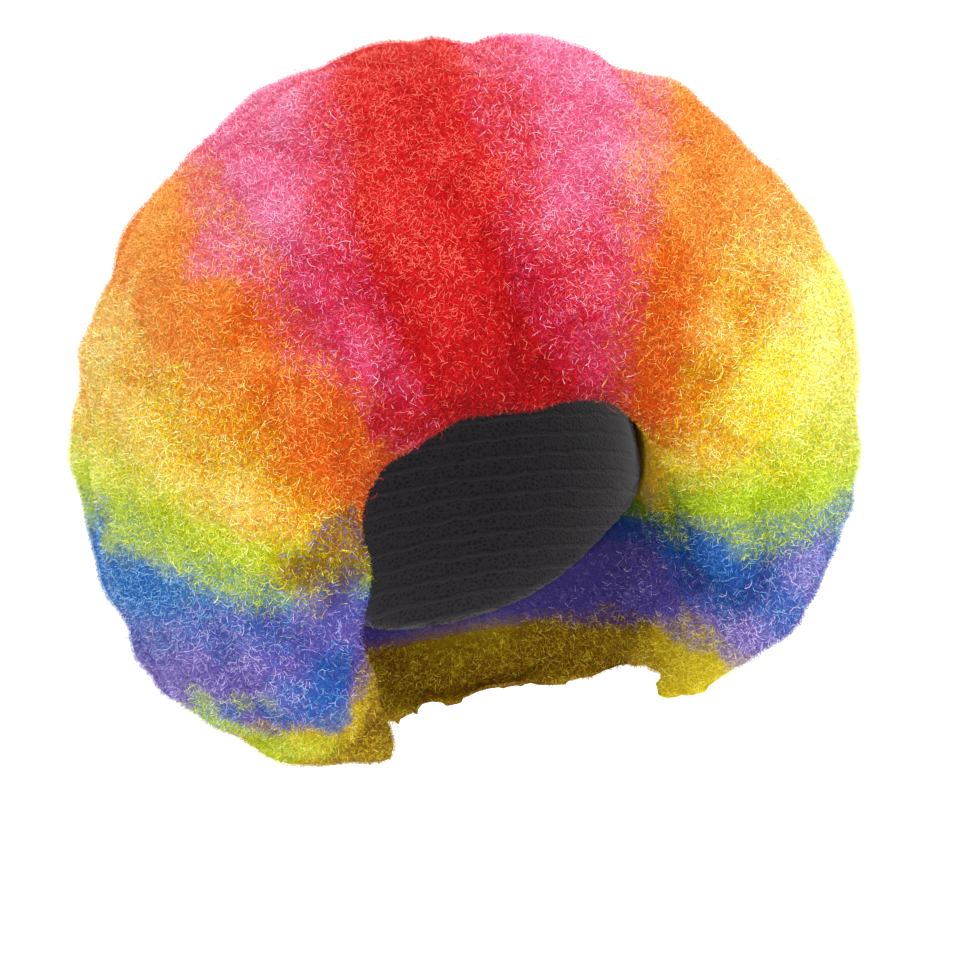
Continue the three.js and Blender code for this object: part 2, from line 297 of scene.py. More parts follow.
STRAY_LOCKS: tuple[StrayLock, ...] = (
    # Red brushed over the pink on both sides of the parting, and at the front edge, one lock in painted
    # shade.
    StrayLock(pixel=(495, 105), radius=0.014, band=Band.RED, strength=1.6),
    StrayLock(pixel=(510, 145), radius=0.015, band=Band.RED, strength=1.6),
    StrayLock(pixel=(518, 190), radius=0.012, band=Band.RED, strength=1.2),
    StrayLock(pixel=(338, 115), radius=0.015, band=Band.RED, strength=1.0),
    StrayLock(pixel=(350, 165), radius=0.012, band=Band.RED, strength=0.9),
    StrayLock(pixel=(580, 275), radius=0.024, band=Band.RED, strength=1.3),
    StrayLock(pixel=(335, 215), radius=0.016, band=Band.RED, strength=0.6, lift=-0.15),
    StrayLock(pixel=(395, 420), radius=0.012, band=Band.RED),
    StrayLock(pixel=(415, 430), radius=0.012, band=Band.RED),
    # Pink in shade beside the red, and its tip between the orange puffs.
    StrayLock(pixel=(310, 300), radius=0.024, band=Band.PINK, strength=0.0, lift=-0.3),
    StrayLock(pixel=(212, 255), radius=0.014, band=Band.PINK, strength=1.5),
    # Orange puffs in shade and in the light.
    StrayLock(pixel=(275, 335), radius=0.022, band=Band.ORANGE, strength=0.0, lift=-0.3),
    StrayLock(pixel=(230, 405), radius=0.022, band=Band.ORANGE, strength=0.6, lift=-0.2),
    StrayLock(pixel=(320, 430), radius=0.030, band=Band.ORANGE, strength=0.0, lift=-0.25),
    StrayLock(pixel=(200, 295), radius=0.028, band=Band.ORANGE, strength=0.0, lift=-0.12),
    StrayLock(pixel=(110, 330), radius=0.026, band=Band.ORANGE, strength=0.0, lift=0.25),
    StrayLock(pixel=(140, 230), radius=0.022, band=Band.ORANGE, strength=0.0, lift=0.35),
    StrayLock(pixel=(720, 220), radius=0.026, band=Band.ORANGE, strength=0.0, lift=0.08),
    StrayLock(pixel=(700, 430), radius=0.020, band=Band.ORANGE, strength=0.7),
    StrayLock(pixel=(775, 300), radius=0.016, band=Band.ORANGE, strength=0.8, lift=-0.1),
    # Yellow brushed into the orange on the right side, partly in painted shade.
    StrayLock(pixel=(195, 460), radius=0.036, band=Band.YELLOW, strength=1.1, lift=-0.15),
    StrayLock(pixel=(120, 400), radius=0.034, band=Band.YELLOW, strength=0.7, lift=-0.1),
    StrayLock(pixel=(100, 350), radius=0.030, band=Band.YELLOW, strength=0.9),
    StrayLock(pixel=(100, 452), radius=0.020, band=Band.YELLOW, strength=2.0),
    StrayLock(pixel=(92, 425), radius=0.015, band=Band.YELLOW, strength=2.0),
    # Lime tongues over the blue on the right side, one in painted shade.
    StrayLock(pixel=(90, 488), radius=0.016, band=Band.GREEN, strength=2.0),
    StrayLock(pixel=(138, 522), radius=0.013, band=Band.GREEN),
    StrayLock(pixel=(162, 532), radius=0.013, band=Band.GREEN),
    StrayLock(pixel=(186, 544), radius=0.012, band=Band.GREEN),
    StrayLock(pixel=(112, 542), radius=0.007, band=Band.GREEN, strength=1.2),
    StrayLock(pixel=(210, 552), radius=0.014, band=Band.GREEN, strength=2.0, lift=-0.1),
    StrayLock(pixel=(242, 566), radius=0.012, band=Band.GREEN, strength=2.0),
    StrayLock(pixel=(114, 520), radius=0.010, band=Band.GREEN, strength=1.5),
    # Ochre shadow by the face opening on the right side, with purple under it.
    StrayLock(pixel=(335, 545), radius=0.016, band=Band.GOLD, strength=2.0, lift=-0.4),
    StrayLock(pixel=(355, 548), radius=0.013, band=Band.GOLD, strength=2.0, lift=-0.6),
    StrayLock(pixel=(318, 568), radius=0.016, band=Band.GOLD, strength=2.0, lift=-0.4),
    StrayLock(pixel=(295, 576), radius=0.011, band=Band.GOLD, strength=1.2, lift=-0.3),
    StrayLock(pixel=(345, 592), radius=0.012, band=Band.PURPLE, strength=2.0, lift=-0.25),
    StrayLock(pixel=(318, 606), radius=0.013, band=Band.PURPLE, strength=2.0, lift=-0.1),
    # Blue in the right lobe.
    StrayLock(pixel=(332, 670), radius=0.012, band=Band.BLUE),
    StrayLock(pixel=(330, 710), radius=0.013, band=Band.BLUE),
    StrayLock(pixel=(278, 715), radius=0.009, band=Band.BLUE),
    StrayLock(pixel=(228, 712), radius=0.006, band=Band.BLUE, strength=2.0),
    StrayLock(pixel=(288, 698), radius=0.011, band=Band.BLUE, strength=1.0),
    # Lime under the right lobe, partly in painted light, and the golden hair beside it in painted shade.
    StrayLock(pixel=(205, 704), radius=0.008, band=Band.GREEN, strength=1.2),
    StrayLock(pixel=(240, 702), radius=0.006, band=Band.GREEN, strength=0.8),
    StrayLock(pixel=(268, 704), radius=0.006, band=Band.GREEN, strength=0.8),
    StrayLock(pixel=(262, 740), radius=0.016, band=Band.GREEN, strength=3.0, lift=0.2),
    StrayLock(pixel=(215, 724), radius=0.012, band=Band.GREEN),
    StrayLock(pixel=(305, 750), radius=0.016, band=Band.GREEN, strength=0.9, lift=0.15),
    StrayLock(pixel=(365, 745), radius=0.020, band=Band.GOLD, strength=0.0, lift=-0.15),
    # Lime, blue and purple of the left lobe, the purple in painted light.
    StrayLock(pixel=(800, 500), radius=0.013, band=Band.GREEN, strength=1.6),
    StrayLock(pixel=(750, 532), radius=0.012, band=Band.GREEN, strength=0.9),
    StrayLock(pixel=(735, 598), radius=0.013, band=Band.BLUE, strength=2.0),
    StrayLock(pixel=(785, 615), radius=0.012, band=Band.BLUE, strength=2.0),
    StrayLock(pixel=(812, 567), radius=0.014, band=Band.PURPLE, strength=2.0, lift=0.3),
    StrayLock(pixel=(745, 638), radius=0.014, band=Band.PURPLE, strength=2.0, lift=0.35),
    StrayLock(pixel=(735, 652), radius=0.011, band=Band.PURPLE, strength=2.5, lift=0.3),
    StrayLock(pixel=(712, 622), radius=0.016, band=Band.PURPLE, strength=0.0, lift=0.35),
    # Painted shadow by the face opening and painted light on the gold on the left side.
    StrayLock(pixel=(655, 510), radius=0.012, band=Band.BLUE, strength=0.5, lift=-0.5),
    StrayLock(pixel=(690, 680), radius=0.034, band=Band.GOLD, strength=0.0, lift=0.6),
)

GUEST_DYES: dict[Band, Band] = {
    Band.YELLOW: Band.GOLD,
    Band.GREEN: Band.GOLD,
    Band.PURPLE: Band.GREEN,
    Band.GOLD: Band.GREEN,
}


class NodeTree:
    """Short way to lay nodes into one tree and join them."""

    # Sockets of a colour mix: its two colours and its result.
    FIRST = 6
    SECOND = 7
    MIXED = 2

    def __init__(self, tree: bpy.types.NodeTree) -> None:
        """Wraps a tree.

        Args:
            tree: The tree that the nodes go into.
        """
        self.tree = tree

    def add(
        self, kind: str, inputs: dict[str | int, object] | None = None, **settings: object
    ) -> bpy.types.Node:
        """Adds a node.

        Args:
            kind: Blender's type of the node.
            inputs: Values or output sockets for its inputs, by name or place.
            **settings: The node's own properties.

        Returns:
            The new node.
        """
        node = self.tree.nodes.new(kind)
        for name, value in settings.items():
            setattr(node, name, value)
        for key, value in (inputs or {}).items():
            if isinstance(value, bpy.types.NodeSocket):
                self.tree.links.new(value, node.inputs[key])
            else:
                node.inputs[key].default_value = value
        return node

    def sum(self, op: MathOp, a: object, b: object = 0.0, clamp: bool = False) -> bpy.types.NodeSocket:
        """Result of a sum of two values.

        Args:
            op: The sum.
            a: First value or socket.
            b: Second value or socket.
            clamp: Whether the result is held from 0 to 1.

        Returns:
            The result's socket.
        """
        return self.add("ShaderNodeMath", {0: a, 1: b}, operation=op.value, use_clamp=clamp).outputs[0]

    def blend(
        self, factor: object, first: object, second: object, way: Mixing = Mixing.PLAIN
    ) -> bpy.types.NodeSocket:
        """Mix of two colours.

        Args:
            factor: Share of the second colour, a value or socket.
            first: First colour or socket.
            second: Second colour or socket.
            way: How they are mixed.

        Returns:
            Socket of the mixed colour.
        """
        inputs = {"Factor": factor, self.FIRST: first, self.SECOND: second}
        mix = self.add("ShaderNodeMix", inputs, data_type="RGBA", blend_type=way.value)
        return mix.outputs[self.MIXED]

    def ranged(
        self,
        value: bpy.types.NodeSocket,
        given: tuple[float, float] = (0.0, 1.0),
        wanted: tuple[float, float] = (0.0, 1.0),
    ) -> bpy.types.NodeSocket:
        """Value moved from one range to another.

        Args:
            value: Socket of the value.
            given: Range that it comes in.
            wanted: Range that it is held to.

        Returns:
            Socket of the moved value.
        """
        ends = {"From Min": given[0], "From Max": given[1], "To Min": wanted[0], "To Max": wanted[1]}
        return self.add("ShaderNodeMapRange", {"Value": value, **ends}).outputs["Result"]

    def place(self) -> bpy.types.NodeSocket:
        """Where a point of the surface is on its piece."""
        return self.add("ShaderNodeTexCoord").outputs["Object"]

    def link(self, out: bpy.types.NodeSocket, into: bpy.types.NodeSocket) -> None:
        """Joins two sockets."""
        self.tree.links.new(out, into)


def new_material(name: str) -> tuple[bpy.types.Material, NodeTree, bpy.types.Node]:
    """New material with nodes.

    Args:
        name: The material's name.

    Returns:
        The material, the way to lay its nodes, and its shader.
    """
    made = bpy.data.materials.new(name)
    made.use_nodes = True
    return made, NodeTree(made.node_tree), made.node_tree.nodes["Principled BSDF"]


def linked(name: str, mesh: bpy.types.Mesh) -> bpy.types.Object:
    """New object of a mesh, in the scene.

    Args:
        name: The object's name.
        mesh: Its mesh.

    Returns:
        The object.
    """
    made = bpy.data.objects.new(name, mesh)
    bpy.context.scene.collection.objects.link(made)
    return made


def settled(made: bpy.types.Object) -> bpy.types.Object:
    """Turns an object's modifiers into a plain mesh.

    Args:
        made: The object.

    Returns:
        The same object, with no modifier left.
    """
    bpy.context.view_layer.update()
    evaluated = made.evaluated_get(bpy.context.evaluated_depsgraph_get())
    mesh = bpy.data.meshes.new_from_object(evaluated)
    made.modifiers.clear()
    spent = made.data
    made.data = mesh
    bpy.data.meshes.remove(spent)
    mesh.name = made.name
    return made


def merged_copy(nodes: list[str]) -> bpy.types.Mesh:
    """Copy of solids' meshes with their loose triangles joined.

    Args:
        nodes: Names of the solids.

    Returns:
        One mesh of them all.
    """
    shape = bmesh.new()
    for node in nodes:
        shape.from_mesh(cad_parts[node].data)
    bmesh.ops.remove_doubles(shape, verts=shape.verts, dist=TINY)
    mesh = bpy.data.meshes.new("merged")
    shape.to_mesh(mesh)
    shape.free()
    return mesh


def tree_of(node: str) -> BVHTree:
    """Search tree of a solid's surface."""
    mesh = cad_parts[node].data
    return BVHTree.FromPolygons([v.co for v in mesh.vertices], [p.vertices for p in mesh.polygons])


def coordinates(mesh: bpy.types.Mesh) -> np.ndarray:
    """Places of a mesh's vertices.

    Args:
        mesh: The mesh.

    Returns:
        One row for each vertex.
    """
    places = np.empty(len(mesh.vertices) * 3, np.float32)
    mesh.vertices.foreach_get("co", places)
    return places.reshape(-1, 3).astype(float)


def vertex_normals(mesh: bpy.types.Mesh) -> np.ndarray:
    """Normals of a mesh's vertices.

    Args:
        mesh: The mesh.

    Returns:
        One row for each vertex.
    """
    normals = np.empty(len(mesh.vertices) * 3, np.float32)
    mesh.vertex_normals.foreach_get("vector", normals)
    return normals.reshape(-1, 3).astype(float)


class FibreGroup:
    """Shader group of curled fibres: thin bright lines that wander, used as painted highlights, and the
    painted shade between them.
    """

    NAME = "curled_fibres"
    CURLS_PER_METRE = 400.0
    LINE_WIDTH = 0.035
    COARSE_SHARE = 0.57
    COARSE_GLOW = 0.7
    LINES = {"Detail": 1.0, "Distortion": 0.9}
    MIDDLE = 0.5
    SHADE = {"Scale": 620.0, "Detail": 3.0, "Roughness": 0.65, "Distortion": 1.2}

    @classmethod
    def tree(cls) -> bpy.types.NodeTree:
        """The group, made once.

        Returns:
            The node group.
        """
        if cls.NAME in bpy.data.node_groups:
            return bpy.data.node_groups[cls.NAME]
        group = bpy.data.node_groups.new(cls.NAME, "ShaderNodeTree")
        for name, kind, default in (
            ("Vector", "NodeSocketVector", None),
            ("Curls per metre", "NodeSocketFloat", cls.CURLS_PER_METRE),
            ("Line width", "NodeSocketFloat", cls.LINE_WIDTH),
        ):
            socket = group.interface.new_socket(name, in_out="INPUT", socket_type=kind)
            if default is not None:
                socket.default_value = default
        for name in ("Fibre", "Shade", "Height"):
            group.interface.new_socket(name, in_out="OUTPUT", socket_type="NodeSocketFloat")
        kit = NodeTree(group)
        enter = kit.add("NodeGroupInput")
        vector = enter.outputs["Vector"]
        fine = cls._lines(kit, vector, enter, 1.0)
        coarse = cls._lines(kit, vector, enter, cls.COARSE_SHARE)
        fibre = kit.sum(MathOp.ADD, fine, kit.sum(MathOp.MULTIPLY, coarse, cls.COARSE_GLOW), clamp=True)
        shade = kit.add("ShaderNodeTexNoise", {"Vector": vector, **cls.SHADE}).outputs["Fac"]
        leave = kit.add("NodeGroupOutput")
        kit.link(fibre, leave.inputs["Fibre"])
        kit.link(shade, leave.inputs["Shade"])
        kit.link(kit.sum(MathOp.ADD, shade, fibre), leave.inputs["Height"])
        return group

    @classmethod
    def _lines(
        cls, kit: NodeTree, vector: bpy.types.NodeSocket, enter: bpy.types.Node, share: float
    ) -> bpy.types.NodeSocket:
        """Contour lines of a soft noise, which curl like single fibres.

        Args:
            kit: The group's tree.
            vector: Where the noise is read.
            enter: The group's inputs.
            share: Share of the group's number of curls.

        Returns:
            Socket that is 1 on a line and 0 off it.
        """
        scale = kit.sum(MathOp.MULTIPLY, enter.outputs["Curls per metre"], share)
        soft = kit.add("ShaderNodeTexNoise", {"Vector": vector, "Scale": scale, **cls.LINES}).outputs["Fac"]
        away = kit.sum(MathOp.ABSOLUTE, kit.sum(MathOp.SUBTRACT, soft, cls.MIDDLE))
        thin = kit.sum(MathOp.DIVIDE, away, enter.outputs["Line width"])
        return kit.sum(MathOp.SUBTRACT, 1.0, thin, clamp=True)


@dataclass(frozen=True)
class FleeceFinish:
    """Matted fibre deep in the hair: dyed by the piece's own attribute, which holds painted shade and light,
    with curled lines painted as highlights in the dye's lit tone, painted shade between them, and sheen.
    """

    band: Band
    fibre_highlight: float = 0.55
    shade_range: tuple[float, float] = (0.3, 0.7)
    shade_depth: float = 0.5
    bump: float = 0.0009
    bump_strength: float = 0.9
    roughness: float = 0.82
    specular: float = 0.05
    sheen: float = 0.06
    sheen_roughness: float = 0.5

    def material(self) -> bpy.types.Material:
        """The finish as a material.

        Returns:
            The material.
        """
        made, kit, shader = new_material(f"{self.band.title}_fleece")
        tones = DYES[self.band]
        dye = kit.add("ShaderNodeAttribute", attribute_name=HairBall.DYE).outputs["Color"]
        fibres = kit.add("ShaderNodeGroup", {}, node_tree=FibreGroup.tree())
        kit.link(kit.place(), fibres.inputs["Vector"])
        # Painted shade between the fibres, then painted highlights along the curled lines.
        painted_shade = kit.ranged(fibres.outputs["Shade"], self.shade_range, (1.0 - self.shade_depth, 1.0))
        in_shade = kit.blend(1.0, dye, painted_shade, Mixing.MULTIPLY)
        highlight_share = kit.sum(MathOp.MULTIPLY, fibres.outputs["Fibre"], self.fibre_highlight)
        with_painted_highlights = kit.blend(highlight_share, in_shade, (*linear(tones.light), 1.0))
        bump = kit.add(
            "ShaderNodeBump",
            {"Height": fibres.outputs["Height"], "Distance": self.bump, "Strength": self.bump_strength},
        )
        kit.link(with_painted_highlights, shader.inputs["Base Color"])
        kit.link(bump.outputs["Normal"], shader.inputs["Normal"])
        shader.inputs["Roughness"].default_value = self.roughness
        shader.inputs["Specular IOR Level"].default_value = self.specular
        shader.inputs["Sheen Weight"].default_value = self.sheen
        shader.inputs["Sheen Roughness"].default_value = self.sheen_roughness
        shader.inputs["Sheen Tint"].default_value = (*linear(tones.body), 1.0)
        return made


@dataclass(frozen=True)
class FrizzFinish:
    """Single curled fibres: the map's first axis reads their dye with its painted shade, light and highlight,
    and its second goes from root to tip, with painted shade towards the root.
    """

    band: Band
    roughness: float = 0.5
    specular: float = 0.06
    root_in_shade: float = 0.78

    GROUPS = 4
    EDGE = 0.045
    STOPS = (0.02, 0.45, 0.8, 0.98)

    def company(self) -> list[Band]:
        """The bands whose dyes meet in this one.

        Returns:
            The band above, the band itself, the band below and the one that stray locks bring.
        """
        last = len(Band) - 1
        near = [Band(min(max(self.band + step, 0), last)) for step in (-1, 0, 1)]
        return [*near, GUEST_DYES.get(self.band, self.band)]

    def material(self) -> bpy.types.Material:
        """The finish as a material.

        Returns:
            The material.
        """
        made, kit, shader = new_material(f"{self.band.title}_frizz")
        spread = kit.add("ShaderNodeUVMap", uv_map=FrizzCoat.MAP).outputs["UV"]
        axes = kit.add("ShaderNodeSeparateXYZ", {0: spread}).outputs
        ramp = kit.add("ShaderNodeValToRGB", {"Fac": axes["X"]})
        self._fill(ramp.color_ramp)
        # Painted shade: each fibre darker towards its root, deep in the hair.
        root_shade = kit.ranged(axes["Y"], wanted=(self.root_in_shade, 1.0))
        colour = kit.blend(1.0, ramp.outputs["Color"], root_shade, Mixing.MULTIPLY)
        kit.link(colour, shader.inputs["Base Color"])
        shader.inputs["Roughness"].default_value = self.roughness
        shader.inputs["Specular IOR Level"].default_value = self.specular
        return made

    def _fill(self, ramp: bpy.types.ColorRamp) -> None:
        """Sets the tones of the dyes that meet in the band on a ramp, an equal part each: painted shade,
        body, painted light and painted highlight.

        Args:
            ramp: The ramp.
        """
        stops = [
            ((group + at) / self.GROUPS, (*tone, 1.0))
            for group, band in enumerate(self.company())
            for at, tone in zip(self.STOPS, DYES[band].tones())
        ]
        while len(ramp.elements) < len(stops):
            ramp.elements.new(1.0)
        for element, (place, colour) in zip(ramp.elements, stops):
            element.position = place
            element.color = colour


@dataclass(frozen=True)
class NetFinish:
    """Black stretch net of the cap, with the rows of stitching that hold the hair; the threads are lighter in
    their own colour, and the rows are drawn lighter as painted sheen.
    """

    holes_per_metre: float = 420.0
    thread_edges: tuple[float, float] = (0.05, 0.28)
    rows_per_metre: float = 34.0
    row_wander: float = 1.5
    row_detail: float = 2.0
    row_detail_scale: float = 3.0
    seam_edges: tuple[float, float] = (0.78, 0.96)
    seam_height: float = 2.0
    bump: float = 0.0004
    bump_strength: float = 0.5
    roughness: float = 0.88
    sheen: float = 0.2
    cloth: Rgb = (24, 22, 25)
    thread: Rgb = (46, 43, 48)

    def material(self) -> bpy.types.Material:
        """The finish as a material.

        Returns:
            The material.
        """
        made, kit, shader = new_material("cap_net")
        place = kit.place()
        mesh = kit.add(
            "ShaderNodeTexVoronoi",
            {"Vector": place, "Scale": self.holes_per_metre},
            feature="DISTANCE_TO_EDGE",
        ).outputs["Distance"]
        thread = kit.ranged(mesh, self.thread_edges, (1.0, 0.0))
        rows = kit.add(
            "ShaderNodeTexWave",
            {
                "Vector": place,
                "Scale": self.rows_per_metre,
                "Distortion": self.row_wander,
                "Detail": self.row_detail,
                "Detail Scale": self.row_detail_scale,
            },
            bands_direction="Z",
        ).outputs["Fac"]
        seam = kit.ranged(rows, self.seam_edges)
        # Threads lighter in their own colour, and the stitched rows lighter as painted sheen.
        raised = kit.sum(MathOp.ADD, thread, seam, clamp=True)
        colour = kit.blend(raised, (*linear(self.cloth), 1.0), (*linear(self.thread), 1.0))
        height = kit.sum(MathOp.ADD, thread, kit.sum(MathOp.MULTIPLY, seam, self.seam_height))
        bump = kit.add(
            "ShaderNodeBump", {"Height": height, "Distance": self.bump, "Strength": self.bump_strength}
        )
        kit.link(colour, shader.inputs["Base Color"])
        kit.link(bump.outputs["Normal"], shader.inputs["Normal"])
        shader.inputs["Roughness"].default_value = self.roughness
        shader.inputs["Sheen Weight"].default_value = self.sheen
        return made


@dataclass
class HairBall:
    """Matted depth of the hair: one puffed skin round all the hair solids, cut into its coloured bands."""

    voxel: float = 0.004
    # Smoothing: under the lower height the rim keeps its length, over the upper one the seams go too.
    relax: float = 0.5
    regain: float = 0.52
    rim_rounds: int = 8
    seam_rounds: int = 24
    rim_heights: tuple[float, float] = (-0.185, -0.135)
    # Puffs and finer tufts, which fade out towards the cap.
    inset: float = 0.0015
    puff: float = 0.0065
    puffs_per_metre: float = 15.0
    tuft: float = 0.0028
    tufts_per_metre: float = 38.0
    tuft_shift: float = 3.1
    swell: float = 2.2
    crease: float = 0.55
    tight_to_cap: float = 0.004
    free_over: float = 0.03
    # Wandering borders of the dyes, each by its size and its number to the metre, and ragged locks.
    warps: tuple[tuple[float, float], ...] = ((0.008, 15.0), (0.004, 44.0))
    seed: int = 2
    middle_width: float = 0.08
    ragged: float = 0.5
    ragged_per_metre: float = 70.0
    lock_edge: int = 4
    # The egg that the hair stands on, and the tones by the depth of the hair over it: painted shade near the
    # head and in the creases, painted light further out and on puffs and tufts.
    head_centre: tuple[float, float, float] = (0.0, 0.0, -0.100)
    head_half: tuple[float, float, float, float] = (0.078, 0.099, 0.100, 0.190)
    full_depth: float = 0.100
    calm_gain: float = 1.15
    least_calm: float = 0.25
    darkest_painted_shade: float = 0.04
    painted_light_by_depth: float = 0.7
    depth_power: float = 1.6
    painted_light_on_puffs: float = 0.4
    painted_light_on_tufts: float = 0.3
    usual_rise: float = 0.2
    # How far off the cap loose fibres begin, and over what distance they grow full.
    cap_clearance: float = 0.008
    cover_over: float = 0.006
    view: View = field(default_factory=View)
    # Worked out for each vertex while the skin is built.
    places: np.ndarray = field(init=False)
    calm: np.ndarray = field(init=False)
    weights: np.ndarray = field(init=False)
    tone: np.ndarray = field(init=False)
    cover: np.ndarray = field(init=False)

    # Attributes of the pieces: the dye colour with its painted shade and light, the painted shade and light
    # alone, the shares of the dyes above, below and of the guest, and where loose fibres grow.
    DYE = "dye"
    TONE = "tone"
    ABOVE = "above"
    BELOW = "below"
    GUEST = "guest"
    COVER = "cover"
    ATTRIBUTES = (DYE, TONE, ABOVE, BELOW, GUEST, COVER)

    def build(self) -> dict[Band, bpy.types.Object]:
        """Makes the skin and cuts it into bands.

        Returns:
            One piece of matted fibre for each band.
        """
        skin = linked("hair_skin", merged_copy([band.node for band in Band]))
        remesh = skin.modifiers.new("one_skin", "REMESH")
        remesh.mode = "VOXEL"
        remesh.voxel_size = self.voxel
        settled(skin)
        self._soften(skin.data)
        self._puff(skin.data)
        labels = self._dyed(skin.data)
        pieces = {band: self._cut(skin.data, labels, band) for band in Band}
        spent = skin.data
        bpy.data.objects.remove(skin)
        bpy.data.meshes.remove(spent)
        return pieces

    def _soften(self, mesh: bpy.types.Mesh) -> None:
        """Rounds off the skin.

        At the rim only its roughness goes, so that it keeps its length. Above it the seams go too.

        Args:
            mesh: The skin.
        """
        ends = np.empty(2 * len(mesh.edges), np.int32)
        mesh.edges.foreach_get("vertices", ends)
        one, other = ends.reshape(-1, 2).T
        joined = np.bincount(ends, minlength=len(mesh.vertices))[:, None]
        places = coordinates(mesh)
        low, high = self.rim_heights
        share = np.clip((places[:, 2:] - low) / (high - low), 0.0, 1.0)
        steps = (self.relax, -self.regain) * self.rim_rounds + (self.relax * share,) * self.seam_rounds
        for step in steps:
            around = np.zeros_like(places)
            np.add.at(around, one, places[other])
            np.add.at(around, other, places[one])
            places += step * (around / joined - places)
        mesh.vertices.foreach_set("co", places.astype(np.float32).ravel())
        mesh.update()

    def _puff(self, mesh: bpy.types.Mesh) -> None:
        """Raises soft puffs with creases between them, and works out the hair's tones, which are painted
        shade and light, and where it shows.

        Args:
            mesh: The skin.
        """
        places = coordinates(mesh)
        normals = vertex_normals(mesh)
        cap = tree_of("cap")
        off_cap = np.array([cap.find_nearest(Vector(p))[3] for p in places])
        puffs = np.array([abs(noise.noise(Vector(p * self.puffs_per_metre))) for p in places])
        tufts = np.array(
            [abs(noise.noise(Vector(p * self.tufts_per_metre + self.tuft_shift))) for p in places]
        )
        free = np.clip((off_cap - self.tight_to_cap) / self.free_over, 0.0, 1.0)
        large = self.puff * (self.swell * puffs - self.crease)
        small = self.tuft * (self.swell * tufts - self.crease)
        rise = free * (large + small) - self.inset
        self.places = places + normals * rise[:, None]
        mesh.vertices.foreach_set("co", self.places.astype(np.float32).ravel())
        mesh.update()
        self.cover = np.clip((off_cap - self.cap_clearance) / self.cover_over, 0.0, 1.0)
        depth = np.clip(self._off_head() / self.full_depth, 0.0, 1.0)
        self.calm = np.clip(self.calm_gain * depth**2, self.least_calm, 1.0)
        # Painted shade and light: darker near the head and in the creases, lighter further out and on the
        # tops of puffs and tufts.
        tone = self.darkest_painted_shade + self.painted_light_by_depth * depth**self.depth_power
        tone += self.painted_light_on_puffs * (puffs - self.usual_rise)
        tone += self.painted_light_on_tufts * (tufts - self.usual_rise)
        self.tone = np.clip(tone, 0.0, 1.0)

    def _off_head(self) -> np.ndarray:
        """How far the skin is from the egg that the hair stands on.

        Returns:
            One distance for each vertex.
        """
        from_centre = self.places - np.array(self.head_centre)
        wide, long, above, below = self.head_half
        x, y, z = from_centre.T
        high = np.where(z > 0.0, above, below)
        share = np.sqrt((x / wide) ** 2 + (y / long) ** 2 + (z / high) ** 2)
        return np.linalg.norm(from_centre, axis=1) * (1.0 - 1.0 / np.maximum(share, TINY))

    def _dyed(self, mesh: bpy.types.Mesh) -> np.ndarray:
        """Works out the dyes at each vertex: wandering borders, runs of dye, and stray locks, which also
        paint light or shade.

        Args:
            mesh: The skin.

        Returns:
            The band that each vertex belongs to.
        """
        away = self._away(vertex_normals(mesh))
        nearest = away.argmin(axis=1)
        runs = np.full((2, len(Band), len(Band)), USUAL_RUN)
        for run in DYE_RUNS:
            runs[:, run.into, run.source] = run.right, run.left
        left = np.clip(0.5 + self.places[:, 0] / self.middle_width, 0.0, 1.0)[:, None]
        reach = runs[0, nearest] * (1.0 - left) + runs[1, nearest] * left
        past_nearest = away - away.min(axis=1, keepdims=True)
        shares = np.exp(-((past_nearest / (reach * self.calm[:, None])) ** 2))
        uneven = np.array([noise.noise(Vector(p * self.ragged_per_metre)) for p in self.places])
        skin = BVHTree.FromPolygons(self.places.tolist(), [p.vertices for p in mesh.polygons])
        for lock in STRAY_LOCKS:
            off = np.linalg.norm(self.places - np.array(self.view.seen(skin, lock.pixel)), axis=1)
            covered = np.exp(-((off / (lock.radius * (1.0 + self.ragged * uneven))) ** self.lock_edge))
            shares[:, lock.band] += lock.strength * covered
            # The lock's lift is painted light or shade on the hair's tone.
            self.tone = np.clip(self.tone + lock.lift * covered, 0.0, 1.0)
        self.weights = shares / shares.sum(axis=1, keepdims=True)
        return self.weights.argmax(axis=1)

    def _away(self, normals: np.ndarray) -> np.ndarray:
        """How far each vertex is from each band's solid, measured from a spot that wanders along the skin.

        Args:
            normals: Normals of the skin.

        Returns:
            One row for each vertex, one column for each band.
        """
        noise.seed_set(self.seed)
        trees = [tree_of(band.node) for band in Band]
        away = np.empty((len(self.places), len(trees)))
        for index, (place, normal) in enumerate(zip(self.places, normals)):
            wander = Vector((0.0, 0.0, 0.0))
            for size, per_metre in self.warps:
                wander += noise.noise_vector(Vector(place * per_metre)) * size * self.calm[index]
            upright = Vector(normal)
            spot = Vector(place) + wander - upright * wander.dot(upright)
            away[index] = [tree.find_nearest(spot)[3] for tree in trees]
        return away

    def _cut(self, mesh: bpy.types.Mesh, labels: np.ndarray, band: Band) -> bpy.types.Object:
        """Piece of the skin that one band covers, with its dye and its painted shade and light.

        Args:
            mesh: The skin.
            labels: Band of each vertex.
            band: The band.

        Returns:
            The piece.
        """
        faces = [tuple(p.vertices) for p in mesh.polygons]
        own = [f for f in faces if self._owner(labels, f) == band]
        used = np.unique(np.array([v for f in own for v in f]))
        fresh = np.full(len(labels), -1)
        fresh[used] = np.arange(len(used))
        piece = bpy.data.meshes.new(f"{band.title}_fleece")
        piece.from_pydata(self.places[used].tolist(), [], [[int(fresh[v]) for v in f] for f in own])
        piece.shade_smooth()
        piece.normals_split_custom_set_from_vertices(vertex_normals(mesh)[used].tolist())
        weights = self.weights[used]
